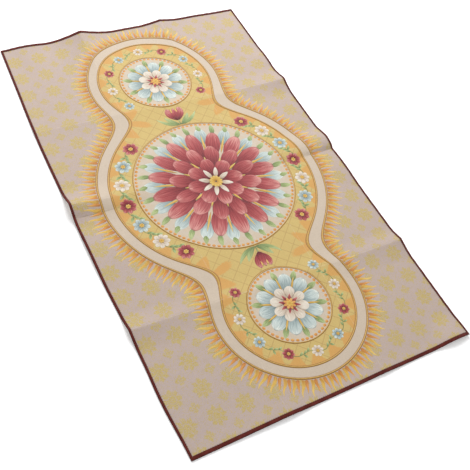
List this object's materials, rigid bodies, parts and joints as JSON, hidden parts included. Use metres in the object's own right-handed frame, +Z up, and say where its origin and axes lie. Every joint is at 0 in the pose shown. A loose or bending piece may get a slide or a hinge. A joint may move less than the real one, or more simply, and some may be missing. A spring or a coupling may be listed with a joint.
{
  "type": "embroidered silk icon",
  "caption": "Creased silk picture panel with an ornamental cartouche on a sprigged ground and a bound edge, lying flat with its face up.",
  "frame": {"origin": "on the surface that the panel lies on, under the middle of its bounding box", "axes": "+X to the right of the design, +Y to the design's top edge, +Z up out of the face"},
  "size_m": [0.7131, 1.2, 0.027],
  "materials": {
    "silk": "satin weave, dusty pink ground with gold, crimson, pale blue and green silks",
    "binding": "dark maroon ribbed tape, folded over the edge and sewn down"
  },
  "bodies": {
    "root": {"silk_panel": "silk", "binding_top": "binding", "binding_bottom": "binding", "binding_left": "binding", "binding_right": "binding"}
  },
  "joints": []
}
